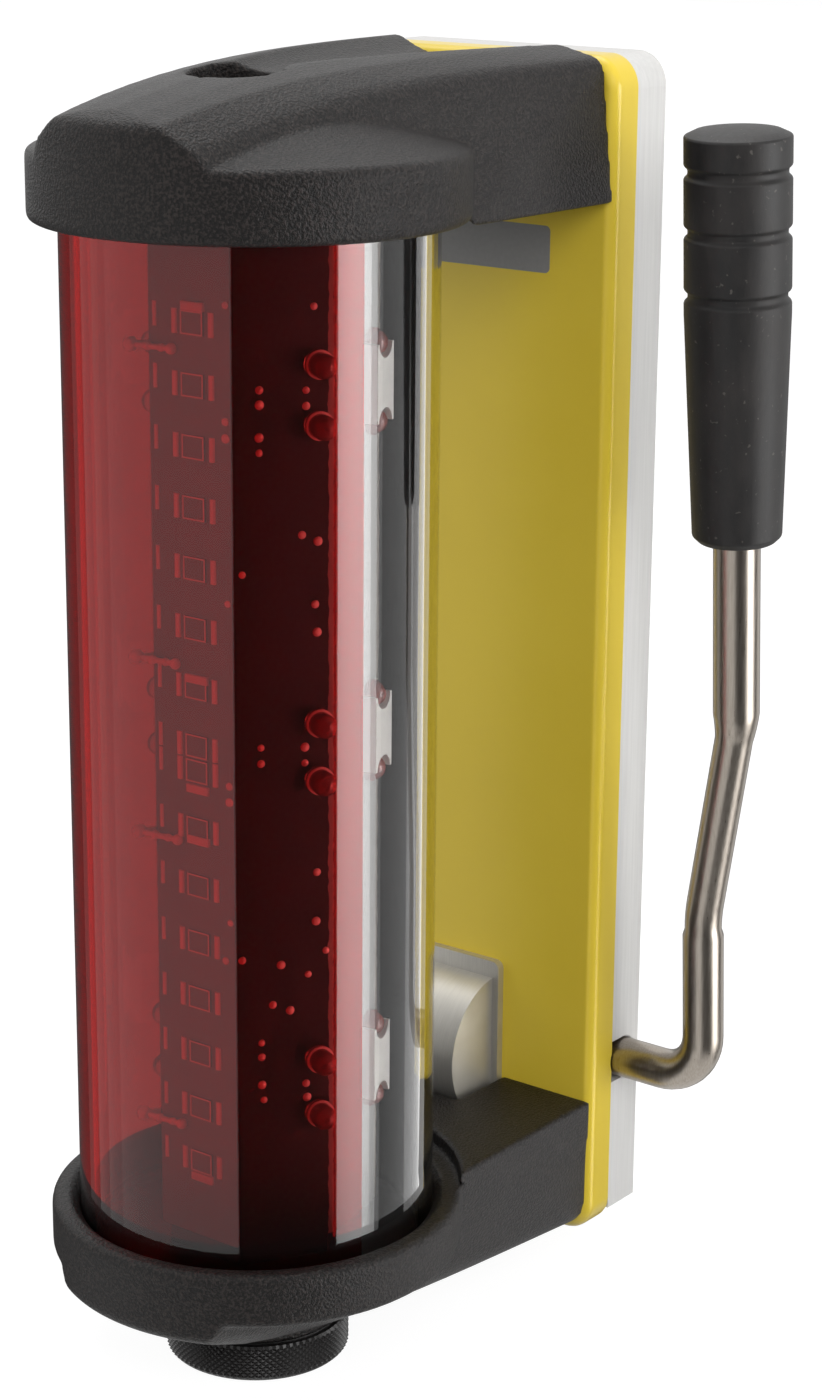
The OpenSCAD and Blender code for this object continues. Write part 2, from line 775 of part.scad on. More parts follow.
module board_carrier() {
    bore_h = cell_count * cell_h + contact_t - cell_start + bottom_hollow_h;
    color("#2a2020") at_tube() translate([0, 0, -bottom_hollow_h]) difference() {
        cylinder(h = window_h + bottom_hollow_h + top_hollow_h, r = carrier_r, $fn = 6);
        translate([0, 0, -overrun]) cylinder(h = bore_h + overrun, r = cell_r + cell_gap);
    }
}

// A board with mitred edges, which meets its neighbours at the corners of the core
module board(angle) {
    inner_half_w = board_half_w - board_t * tan(30);
    at_tube() on_face(angle) translate([0, 0, -board_reach]) linear_extrude(board_h)
        polygon([[-board_half_w, 0], [board_half_w, 0], [inner_half_w, board_t], [-inner_half_w, board_t]]);
}

module front_board() { color("saddlebrown") board(0); }
module left_board() { color("saddlebrown") board(-60); }
module right_board() { color("saddlebrown") board(60); }

module rear_boards() {
    color("gainsboro") at_tube() for (side = [-1, 1]) on_rear(side) translate([0, 0, -board_reach])
        cube([rear_board_w, board_t, board_h]);
}

// Heights of the sensors and lamps above the lower end of the window
sensor_heights = [for (s = [-1, 1], n = [0:sensors_per_side - 1])
    window_h / 2 - sensor_drop + s * (sensor_pair / 2 + n * sensor_pitch)];
group_heights = [for (g = [-1, 0, 1]) window_h / 2 - led_drop + g * led_group_pitch];

module photodiodes() {
    color("darkred") at_tube() for (angle = [-60, 0], z = sensor_heights)
        on_face(angle) translate([sensor_offset - sensor_w / 2, -sensor_t, z - sensor_h / 2])
            cube([sensor_w, sensor_t, sensor_h]);
}

// Round lamp pointing outwards, with its rim and dome
module led(body_h) {
    rotate([90, 0, 0]) {
        cylinder(h = led_rim_h, r = led_rim_r);
        cylinder(h = body_h, r = led_r);
        translate([0, 0, body_h]) rotate_extrude() intersection() {
            circle(led_r);
            square(led_r);
        }
    }
}

module status_leds() {
    color("crimson") at_tube() for (side = [-1, 1], z = group_heights, end = [-1, 1]) {
        on_face(side * 60) translate([side * led_offset, 0, z + end * led_half_gap]) led(led_body_h);
        on_rear(side) translate([rear_led_x, 0, z + end * rear_led_half_gap]) led(led_rim_h);
    }
}

// White holders on the rear boards, hollowed at both ends round the lamps
module led_spacers() {
    color("white") at_tube() for (side = [-1, 1], z = group_heights)
        on_rear(side) translate([rear_led_x, 0, z]) difference() {
            translate([-led_spacer_w / 2, -led_spacer_h, -rear_led_half_gap])
                cube([led_spacer_w, led_spacer_h, 2 * rear_led_half_gap]);
            for (end = [-1, 1]) translate([0, overrun, end * rear_led_half_gap]) rotate([90, 0, 0])
                cylinder(h = led_spacer_h + 2 * overrun, r = led_rim_r + slip);
        }
}

// Wire links over the corner between the front and left boards
module board_links() {
    tip = board_face + link_leg;
    reach = tip * cos(30) + link_offset * sin(30);
    half = tip * sin(30) - link_offset * cos(30);
    color("silver") at_tube() for (share = link_height_shares) translate([0, 0, share * window_h]) {
        for (s = [-1, 1]) on_face(-30 + s * 30)
            translate([-s * link_offset - link_w / 2, -link_leg, -link_w / 2])
                cube([link_w, link_leg, link_w]);
        rotate([0, 0, -30]) translate([-half - link_w / 2, -reach - link_w / 2, -link_w / 2])
            cube([2 * half + link_w, link_w, link_w]);
    }
}

module battery_cells() {
    color("steelblue") at_tube() for (i = [0:cell_count - 1])
        translate([0, 0, i * cell_h - cell_start]) {
            cylinder(h = cell_h - nub_h, r = cell_r);
            cylinder(h = cell_h - slip, r = nub_r);
        }
}

module cell_contact() {
    color("goldenrod") at_tube() translate([0, 0, cell_count * cell_h - cell_start])
        cylinder(h = contact_t, r = contact_r);
}

// Battery cap

// Height of the plug's inner end below the window
plug_end = neck_h + knob_gap - plug_h;

module battery_cap() {
    knob_r = knob_d / 2;
    color("#333333") at_bottom_cap() difference() {
        union() {
            translate([0, 0, neck_h + knob_gap]) rotate_extrude() polygon([
                [0, 0], [knob_r - knob_chamfer, 0], [knob_r, knob_chamfer],
                [knob_r, knob_h - knob_chamfer], [knob_r - knob_chamfer, knob_h], [0, knob_h]]);
            translate([0, 0, plug_end]) cylinder(h = plug_h + overrun, r = plug_r);
        }
        translate([0, 0, neck_h]) ring(seal_inner_r - running_gap, seal_outer_r + running_gap,
                                       seal_t + running_gap);
    }
}

module cap_seal() {
    color("black") at_bottom_cap() translate([0, 0, neck_h]) ring(seal_inner_r, seal_outer_r, seal_t);
}

module contact_spring() {
    color("goldenrod") at_bottom_cap() difference() {
        translate([0, 0, cell_start])
            cylinder(h = plug_end - cell_start, r1 = spring_top_r, r2 = spring_foot_r);
        translate([0, 0, cell_start - overrun]) cylinder(h = plug_end, r = spring_top_r - spring_wall);
    }
}

// Power button and its switch

module power_button() {
    color("#1c1c1c") at_top_cap() translate([0, -recess_front, button_low]) {
        cylinder(h = recess_floor + button_proud - button_low, r = button_r);
        cylinder(h = button_flange_t, r = button_r + button_flange);
    }
}

module power_switch() {
    color("dimgray") at_top_cap() translate([0, -recess_front, top_hollow_h])
        cylinder(h = switch_h, r = switch_r);
}

back_plate();
magnet_base();
magnet_cups();
magnet_cores();
magnet_screws();
base_screws();
arm_screws();
pivot_housing();
lever_rod();
lever_grip();
release_cam();
cam_pin();
shaft_bushes();
top_cap();
bottom_cap();
receiver_tube();
red_filter();
rear_lining();
top_gasket();
bottom_gasket();
board_carrier();
front_board();
left_board();
right_board();
rear_boards();
photodiodes();
status_leds();
led_spacers();
board_links();
battery_cells();
cell_contact();
contact_spring();
battery_cap();
cap_seal();
power_button();
power_switch();
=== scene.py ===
"""Looks of a laser receiver for machines: a clear tube between two black caps on a yellow magnetic plate."""

import math

import bmesh
import bpy
from mathutils import Matrix, Vector, noise


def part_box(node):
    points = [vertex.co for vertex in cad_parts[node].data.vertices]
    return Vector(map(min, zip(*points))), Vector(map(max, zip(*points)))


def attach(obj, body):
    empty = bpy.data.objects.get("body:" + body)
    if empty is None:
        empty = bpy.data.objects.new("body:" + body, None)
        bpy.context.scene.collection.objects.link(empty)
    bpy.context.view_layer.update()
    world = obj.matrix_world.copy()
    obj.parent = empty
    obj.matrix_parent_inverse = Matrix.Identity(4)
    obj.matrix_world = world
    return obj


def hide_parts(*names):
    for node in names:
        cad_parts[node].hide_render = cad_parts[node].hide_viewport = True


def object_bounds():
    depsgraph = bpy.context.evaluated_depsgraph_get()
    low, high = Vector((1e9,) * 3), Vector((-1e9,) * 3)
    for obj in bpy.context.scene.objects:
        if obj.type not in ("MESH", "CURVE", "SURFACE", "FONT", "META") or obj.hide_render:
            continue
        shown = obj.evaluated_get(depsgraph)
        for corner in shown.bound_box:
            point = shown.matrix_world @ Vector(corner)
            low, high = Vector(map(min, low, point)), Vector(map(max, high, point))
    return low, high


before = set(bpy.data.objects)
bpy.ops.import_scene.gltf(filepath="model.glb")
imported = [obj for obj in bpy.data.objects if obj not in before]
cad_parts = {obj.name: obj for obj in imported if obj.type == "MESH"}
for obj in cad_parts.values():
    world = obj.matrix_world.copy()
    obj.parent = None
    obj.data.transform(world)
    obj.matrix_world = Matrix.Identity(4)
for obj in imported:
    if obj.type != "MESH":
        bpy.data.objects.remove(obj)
cad_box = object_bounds()

# Sizes in metres, in the CAD frame: the tube's axis, its window and the plate's front face
MM = 0.001
TUBE_LOW, TUBE_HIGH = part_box("receiver_tube")
AXIS_Y = (TUBE_LOW.y + TUBE_HIGH.y) / 2
TUBE_R = (TUBE_HIGH.x - TUBE_LOW.x) / 2
TUBE_WALL = 3 * MM
TUBE_BORE_R = TUBE_R - TUBE_WALL
PLATE_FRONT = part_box("back_plate")[0].y
KNOB_LOW, KNOB_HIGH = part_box("battery_cap")
FLOOR_Z = cad_box[0][2]
UP = Vector((0, 0, 1))

# The boards round the core: how far they are turned from the front, their faces, their ends and their sensors
FRONT_TURN, LEFT_TURN, RIGHT_TURN, REAR_TURN = 0, -60, 60, 100
BOARD_FACE = 18.2 * MM
REAR_FACE, REAR_START = 20.68 * MM, -3.15 * MM
BOARD_LOW, BOARD_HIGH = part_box("front_board")[0].z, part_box("front_board")[1].z
SENSOR_ANGLES = (FRONT_TURN, LEFT_TURN)
SENSOR_ACROSS, SENSOR_W, SENSOR_H, SENSOR_T = 1 * MM, 5.6 * MM, 4.7 * MM, 0.4 * MM
SENSOR_FIRST, SENSOR_STEP = 2.6 * MM, 12.143 * MM
SENSOR_MIDDLE = (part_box("photodiodes")[0].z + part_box("photodiodes")[1].z) / 2
SENSOR_HEIGHTS = [SENSOR_MIDDLE + side * (SENSOR_FIRST + SENSOR_STEP * step)
                  for side in (-1, 1) for step in range(8)]

# Film in the tube's skin: how deep it lies, and the angles from the front where the sheet and its laps end
FILM_T = 0.1 * MM
FILM_DEPTH, LAP_DEPTH, SECOND_LAP_DEPTH = 0.1 * MM, 0.3 * MM, 0.5 * MM
FILM_LEFT, FILM_RIGHT, LAP_END, SECOND_LAP_END = -110, 77, -27, -52

# Skin of the moulded caps, and the angle past which an edge stays sharp
CAP_VOXEL, CAP_PASSES = 0.65 * MM, 3
EDGE_ANGLE = 30

# Studio: how far off the curved cards stand and how far they go down, and the floor
CARD_R, CARD_FOOT = 1.5, -1.5
FLOOR_SIZE, FLOOR_GAP = 8, 0.5 * MM

# Sockets of a Mix node that mixes two colours
MIX_FACTOR, MIX_A, MIX_B, MIX_RESULT = 0, 6, 7, 2


# Helpers

def colour(hex_code):
    """An sRGB hex value as linear RGBA."""
    def linear(v):
        return v / 12.92 if v <= 0.04045 else ((v + 0.055) / 1.055) ** 2.4
    return tuple(linear(int(hex_code[i:i + 2], 16) / 255) for i in (1, 3, 5)) + (1.0,)


def add(tree, kind, inputs=None, **settings):
    """Adds a shader node with its settings, and links or sets its inputs."""
    made = tree.nodes.new("ShaderNode" + kind)
    for key, value in settings.items():
        setattr(made, key, value)
    for key, value in (inputs or {}).items():
        if isinstance(value, bpy.types.NodeSocket):
            tree.links.new(value, made.inputs[key])
        else:
            made.inputs[key].default_value = value
    return made


def new_material(name, **sockets):
    """A material with one Principled shader, whose constant sockets are set here."""
    material = bpy.data.materials.new(name)
    material.use_nodes = True
    shader = material.node_tree.nodes["Principled BSDF"]
    for key, value in sockets.items():
        shader.inputs[key.replace("_", " ")].default_value = value
    return material, material.node_tree, shader


def dress(node, material):
    """Gives a CAD node that stays in view its material."""
    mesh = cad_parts[node].data
    mesh.materials.clear()
    mesh.materials.append(material)


def finish_piece(name, bm, material, body, replaced=(), sharp=EDGE_ANGLE):
    """Turns a bmesh into a piece that rides on a body, smooth but for edges sharper than the angle."""
    mesh = bpy.data.meshes.new(name)
    bm.to_mesh(mesh)
    bm.free()
    mesh.materials.append(material)
    mesh.shade_smooth()
    mesh.set_sharp_from_angle(angle=math.radians(sharp))
    piece = bpy.data.objects.new(name, mesh)
    bpy.context.scene.collection.objects.link(piece)
    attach(piece, body)
    if replaced:
        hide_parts(*replaced)
    return piece


def merged_copy(node):
    """The mesh of a CAD node with its loose triangles joined up."""
    bm = bmesh.new()
    bm.from_mesh(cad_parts[node].data)
    bmesh.ops.remove_doubles(bm, verts=bm.verts, dist=0.002 * MM)
    return bm


def eased_copy(name, node, material, body, ease=0):
    """A CAD node with its flat faces shaded flat, and a small bevel on its edges where its solid has none."""
    bm = merged_copy(node)
    bmesh.ops.dissolve_limit(bm, angle_limit=math.radians(1), verts=bm.verts, edges=bm.edges)
    piece = finish_piece(name, bm, material, body, (node,))
    if ease:
        bevel = piece.modifiers.new("eased edges", "BEVEL")
        bevel.width = ease
        bevel.segments = 2
        bevel.limit_method = "ANGLE"
        bevel.angle_limit = math.radians(EDGE_ANGLE)
    even = piece.modifiers.new("flat faces", "WEIGHTED_NORMAL")
    even.mode = "FACE_AREA"
    even.weight = 100
    even.keep_sharp = True


def moulded_copy(name, node, material):
    """A CAD node remeshed and smoothed, so that its faces flow together as in a moulding."""
    piece = finish_piece(name, merged_copy(node), material, "receiver", (node,), sharp=180)
    remesh = piece.modifiers.new("even skin", "REMESH")
    remesh.mode = "VOXEL"
    remesh.voxel_size = CAP_VOXEL
    remesh.use_smooth_shade = True
    smooth = piece.modifiers.new("soft blends", "SMOOTH")
    smooth.factor = 0.5
    smooth.iterations = CAP_PASSES


# Materials

def moulded_abs():
    """ABS moulded in a spark-eroded tool: warm black, with a fine grain whose raised points are painted
    paler: partly the grain's own tone, partly a painted highlight for the lights' sparkle on it.
    The grain is drawn coarser than a real one, so that it shows. The sockets of the tube are smooth."""
    material, tree, shader = new_material("moulded_abs_black", Roughness=0.44, Specular_IOR_Level=0.28)
    coords = add(tree, "TexCoord").outputs["Object"]
    grain = add(tree, "TexNoise", {"Vector": coords, "Scale": 1 / (0.6 * MM), "Detail": 2, "Roughness": 0.6})
    # Raised points of the grain painted paler: their own tone plus a painted highlight of the lights' sparkle
    grain_and_glint_peaks = add(tree, "MapRange", {"Value": grain.outputs["Fac"], "From Min": 0.46, "From Max": 0.63})
    tint = add(tree, "Mix", {MIX_FACTOR: grain_and_glint_peaks.outputs["Result"], MIX_A: colour("#0a0808"),
                             MIX_B: colour("#2c2725")}, data_type="RGBA")
    height = add(tree, "SeparateXYZ", {"Vector": coords}).outputs["Z"]
    from_axis = add(tree, "VectorMath", {0: coords, 1: (0, AXIS_Y, 0)}, operation="SUBTRACT")
    flat = add(tree, "VectorMath", {0: from_axis.outputs["Vector"], 1: (1, 1, 0)}, operation="MULTIPLY")
    reach = add(tree, "VectorMath", {0: flat.outputs["Vector"]}, operation="LENGTH")
    near = add(tree, "Math", {0: reach.outputs["Value"], 1: TUBE_R + 0.4 * MM}, operation="LESS_THAN")
    tube_middle, tube_half = (TUBE_LOW.z + TUBE_HIGH.z) / 2, (TUBE_HIGH.z - TUBE_LOW.z) / 2
    level = add(tree, "Math", {0: height, 1: tube_middle, 2: tube_half + 5 * MM}, operation="COMPARE")
    socket = add(tree, "Math", {0: near.outputs["Value"], 1: level.outputs["Value"]}, operation="MULTIPLY")
    skin = add(tree, "Mix", {MIX_FACTOR: socket.outputs["Value"], MIX_A: tint.outputs[MIX_RESULT],
                             MIX_B: colour("#262120")}, data_type="RGBA")
    depth = add(tree, "MapRange", {"Value": socket.outputs["Value"], "To Min": 1, "To Max": 0})
    bump = add(tree, "Bump", {"Height": grain.outputs["Fac"], "Distance": 0.4 * MM,
                              "Strength": depth.outputs["Result"]})
    tree.links.new(skin.outputs[MIX_RESULT], shader.inputs["Base Color"])
    tree.links.new(bump.outputs["Normal"], shader.inputs["Normal"])
    return material


def moulded_yellow():
    """Yellow ABS with a semi-gloss moulded skin: a slight orange peel and small changes of tone."""
    material, tree, shader = new_material("moulded_abs_yellow")
    coords = add(tree, "TexCoord").outputs["Object"]
    peel = add(tree, "TexNoise", {"Vector": coords, "Scale": 1 / (1.6 * MM), "Detail": 2})
    cloud = add(tree, "TexNoise", {"Vector": coords, "Scale": 1 / (35 * MM), "Detail": 3})
    tint = add(tree, "Mix", {MIX_FACTOR: cloud.outputs["Fac"], MIX_A: colour("#e2c539"),
                             MIX_B: colour("#edd147")}, data_type="RGBA")
    gloss = add(tree, "MapRange", {"Value": cloud.outputs["Fac"], "To Min": 0.26, "To Max": 0.34})
    bump = add(tree, "Bump", {"Height": peel.outputs["Fac"], "Distance": 0.05 * MM, "Strength": 0.25})
    tree.links.new(tint.outputs[MIX_RESULT], shader.inputs["Base Color"])
    tree.links.new(gloss.outputs["Result"], shader.inputs["Roughness"])
    tree.links.new(bump.outputs["Normal"], shader.inputs["Normal"])
    return material


def sanded_aluminium():
    """Aluminium bar, sawn and sanded: pale grey, with faint lines along its length."""
    material, tree, shader = new_material("sanded_aluminium", Metallic=0.2)
    coords = add(tree, "TexCoord").outputs["Object"]
    stretched = add(tree, "Mapping", {"Vector": coords, "Scale": (1, 1, 0.03)}).outputs["Vector"]
    lines = add(tree, "TexNoise", {"Vector": stretched, "Scale": 1 / (0.7 * MM), "Detail": 3})
    tint = add(tree, "Mix", {MIX_FACTOR: lines.outputs["Fac"], MIX_A: colour("#cac9c7"),
                             MIX_B: colour("#e0dfdd")}, data_type="RGBA")
    gloss = add(tree, "MapRange", {"Value": lines.outputs["Fac"], "To Min": 0.56, "To Max": 0.7})
    bump = add(tree, "Bump", {"Height": lines.outputs["Fac"], "Distance": 0.05 * MM, "Strength": 0.3})
    tree.links.new(tint.outputs[MIX_RESULT], shader.inputs["Base Color"])
    tree.links.new(gloss.outputs["Result"], shader.inputs["Roughness"])
    tree.links.new(bump.outputs["Normal"], shader.inputs["Normal"])
    return material


def ground_stainless():
    """Stainless bar, ground along its length: grey with long streaks and a warm cast."""
    material, tree, shader = new_material("ground_stainless", Metallic=1.0)
    coords = add(tree, "TexCoord").outputs["Object"]
    stretched = add(tree, "Mapping", {"Vector": coords, "Scale": (1, 1, 0.02)}).outputs["Vector"]
    streaks = add(tree, "TexNoise", {"Vector": stretched, "Scale": 1 / (0.35 * MM), "Detail": 3})
    tint = add(tree, "Mix", {MIX_FACTOR: streaks.outputs["Fac"], MIX_A: colour("#8a8177"),
                             MIX_B: colour("#b8b0a6")}, data_type="RGBA")
    gloss = add(tree, "MapRange", {"Value": streaks.outputs["Fac"], "To Min": 0.24, "To Max": 0.36})
    tree.links.new(tint.outputs[MIX_RESULT], shader.inputs["Base Color"])
    tree.links.new(gloss.outputs["Result"], shader.inputs["Roughness"])
    return material


def satin_silver():
    """Pressed aluminium cover, satin anodised: an even silver sheen with a fine upright brush."""
    material, tree, shader = new_material("satin_anodised_aluminium", Metallic=0.75)
    coords = add(tree, "TexCoord").outputs["Object"]
    stretched = add(tree, "Mapping", {"Vector": coords, "Scale": (1, 0.05, 0.05)}).outputs["Vector"]
    brush = add(tree, "TexNoise", {"Vector": stretched, "Scale": 1 / (0.3 * MM), "Detail": 2})
    tint = add(tree, "Mix", {MIX_FACTOR: brush.outputs["Fac"], MIX_A: colour("#bcb9b2"),
                             MIX_B: colour("#d3d0c9")}, data_type="RGBA")
    gloss = add(tree, "MapRange", {"Value": brush.outputs["Fac"], "To Min": 0.4, "To Max": 0.52})
    tree.links.new(tint.outputs[MIX_RESULT], shader.inputs["Base Color"])
    tree.links.new(gloss.outputs["Result"], shader.inputs["Roughness"])
    return material


def grip_rubber():
    """Moulded rubber: deep grey black and matt, with rub marks down its length and specks of dust."""
    material, tree, shader = new_material("moulded_rubber_grip")
    coords = add(tree, "TexCoord").outputs["Object"]
    stretched = add(tree, "Mapping", {"Vector": coords, "Scale": (1, 1, 0.4)}).outputs["Vector"]
    rub = add(tree, "TexNoise", {"Vector": stretched, "Scale": 1 / (6 * MM), "Detail": 6, "Roughness": 0.7})
    worn = add(tree, "MapRange", {"Value": rub.outputs["Fac"], "From Min": 0.35, "From Max": 0.7})
    dust = add(tree, "TexNoise", {"Vector": coords, "Scale": 1 / (1.1 * MM), "Detail": 1})
    specks = add(tree, "MapRange", {"Value": dust.outputs["Fac"], "From Min": 0.7, "From Max": 0.78})
    tint = add(tree, "Mix", {MIX_FACTOR: worn.outputs["Result"], MIX_A: colour("#0b0a0a"),
                             MIX_B: colour("#272423")}, data_type="RGBA")
    dusty = add(tree, "Mix", {MIX_FACTOR: specks.outputs["Result"], MIX_A: tint.outputs[MIX_RESULT],
                              MIX_B: colour("#4a4643")}, data_type="RGBA")
    gloss = add(tree, "MapRange", {"Value": rub.outputs["Fac"], "To Min": 0.45, "To Max": 0.7})
    bump = add(tree, "Bump", {"Height": rub.outputs["Fac"], "Distance": 0.3 * MM, "Strength": 0.4})
    tree.links.new(dusty.outputs[MIX_RESULT], shader.inputs["Base Color"])
    tree.links.new(gloss.outputs["Result"], shader.inputs["Roughness"])
    tree.links.new(bump.outputs["Normal"], shader.inputs["Normal"])
    return material


def even_finish(name, base, variation, grain_size, roughness, **sockets):
    """A surface whose tone drifts between two close colours at the size of its grain."""
    material, tree, shader = new_material(name, Roughness=roughness, **sockets)
    coords = add(tree, "TexCoord").outputs["Object"]
    drift = add(tree, "TexNoise", {"Vector": coords, "Scale": 1 / grain_size, "Detail": 3})
    tint = add(tree, "Mix", {MIX_FACTOR: drift.outputs["Fac"], MIX_A: colour(base),
                             MIX_B: colour(variation)}, data_type="RGBA")
    tree.links.new(tint.outputs[MIX_RESULT], shader.inputs["Base Color"])
    return material


black_abs = moulded_abs()
yellow_abs = moulded_yellow()
slab_aluminium = sanded_aluminium()
stainless = ground_stainless()
cover_silver = satin_silver()
rubber = grip_rubber()

# Extruded acrylic: clear and glossy, bending what stands behind it
acrylic = even_finish("extruded_acrylic_clear", "#f9f9f9", "#fdfdfd", 30 * MM, 0.0, IOR=1.49,
                      Transmission_Weight=1.0)
# Dyed polyester film, bonded to the acrylic without a gloss of its own: lets deep red through
red_film = even_finish("dyed_polyester_film_red", "#e45250", "#ea5856", 12 * MM, 0.0, IOR=1.0,
                       Transmission_Weight=1.0)
# The laps of the film at the left, each of which takes away more of the light
grey_film = even_finish("dyed_polyester_film_grey", "#c5c0c0", "#cdc8c8", 12 * MM, 0.0, IOR=1.0,
                        Transmission_Weight=1.0)
# Black film behind the boards: dull, so that the plate doesn't show through the tube
black_film = even_finish("dyed_polyester_film_black", "#1a1818", "#232121", 6 * MM, 0.4)
# Glass-fibre board under a solder mask, which is dull brown grey, or nearly black on the right board
board = even_finish("solder_mask_board", "#776d63", "#847a70", 4 * MM, 0.45)
dark_board = even_finish("solder_mask_board_dark", "#151212", "#1c1818", 4 * MM, 0.5)
# Bare glass fibre: pale grey on the rear boards, and lighter and speckled where it was sawn
pale_board = even_finish("bare_glass_fibre_board", "#6c6a66", "#7a7773", 2 * MM, 0.5)
frayed_fibre = even_finish("sawn_glass_fibre", "#857f78", "#a39c94", 0.4 * MM, 0.6)
# Cast resin: the sensors are smooth and grey, the lamps clear red and glossy
diode_resin = even_finish("cast_resin_grey", "#6c6259", "#766c63", 2 * MM, 0.25)
lamp_resin = even_finish("cast_resin_clear_red", "#c0625a", "#cc6e66", 1 * MM, 0.06, IOR=1.5,
                         Transmission_Weight=0.6)
# Tinned copper of the contacts: a bright grey metal
tinned = even_finish("tinned_copper", "#cfcac4", "#e4dfd8", 0.5 * MM, 0.3, Metallic=1.0)
# Solder, drawn nearly white with a soft gloss: the whiteness is a painted highlight for the shine of the
# metal
solder = even_finish("solder_painted_white", "#e9e5df", "#faf7f2", 0.4 * MM, 0.28, Metallic=0.1)
# Fired ceramic of the chips: pale cream and smooth. It also draws the painted highlight round each sensor's
# edges
ceramic = even_finish("chip_ceramic_and_sensor_edge_highlights", "#e2d8ca", "#f2eade", 0.6 * MM, 0.35)
# Moulded nylon of the lamp holders: warm white and dull
white_plastic = even_finish("moulded_nylon_white", "#d9d6d0", "#e8e5df", 3 * MM, 0.5)
# Moulded core and switch: black and dull, so that nothing shows between the boards
dark_carrier = even_finish("moulded_carrier_black", "#0f0b0b", "#171111", 3 * MM, 0.6)
# Moulded rubber of the seals: black, without a gloss
seal_rubber = even_finish("moulded_rubber_seal", "#0c0b0b", "#151313", 2 * MM, 0.55)
# Zinc-plated steel of the screws, magnet cups, eccentric and cells: a mid grey metal, a bit cloudy
zinc = even_finish("zinc_plated_steel", "#a3a39f", "#b8b8b3", 1.5 * MM, 0.32, Metallic=1.0)
# Ferrite, ground flat: dark grey and dull
ferrite = even_finish("ground_ferrite", "#232324", "#303031", 1 * MM, 0.5)
# Turned bronze of the bushes: brown gold
bronze = even_finish("turned_bronze", "#a67a3e", "#b98a49", 1 * MM, 0.35, Metallic=1.0)
# Black anodised aluminium: the dyed layer hides the metal and leaves a satin black
black_anodised = even_finish("black_anodised_aluminium", "#0f0d0d", "#191616", 1 * MM, 0.32)
# Label stock: silver paper with a dull sheen
label_stock = even_finish("blank_silver_label", "#838280", "#8f8e8c", 1 * MM, 0.38)


# Pieces

def spun_tube():
    """The clear tube, turned from its wall's section."""
    bm = bmesh.new()
    low, high = TUBE_LOW.z, TUBE_HIGH.z
    corners = [(TUBE_BORE_R, low), (TUBE_R, low), (TUBE_R, high), (TUBE_BORE_R, high)]
    wall = [bm.verts.new((r, AXIS_Y, z)) for r, z in corners]
    edges = [bm.edges.new((wall[i], wall[(i + 1) % 4])) for i in range(4)]
    bmesh.ops.spin(bm, geom=wall + edges, cent=(0, AXIS_Y, 0), axis=UP, angle=math.tau, steps=160,
                   use_merge=True)
    bmesh.ops.recalc_face_normals(bm, faces=bm.faces)
    finish_piece("clear_tube", bm, acrylic, "receiver", ("receiver_tube",))


def film_layer(name, start, end, inner, material, replaced=()):
    """A layer of film in the skin of the tube's bore, between two angles from the front."""
    low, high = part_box("red_filter")
    outer = inner + FILM_T
    turn = math.radians(start)
    section = ((inner, low.z), (outer, low.z), (outer, high.z), (inner, high.z))
    corners = [(TUBE_BORE_R + depth, z) for depth, z in section]
    bm = bmesh.new()
    wall = [bm.verts.new((r * math.sin(turn), AXIS_Y - r * math.cos(turn), z)) for r, z in corners]
    edges = [bm.edges.new((wall[i], wall[(i + 1) % 4])) for i in range(4)]
    bmesh.ops.spin(bm, geom=wall + edges, cent=(0, AXIS_Y, 0), axis=UP,
                   angle=math.radians(end - start), steps=96)
    bmesh.ops.holes_fill(bm, edges=[e for e in bm.edges if e.is_boundary], sides=4)
    bmesh.ops.recalc_face_normals(bm, faces=bm.faces)
    finish_piece(name, bm, material, "receiver", replaced)


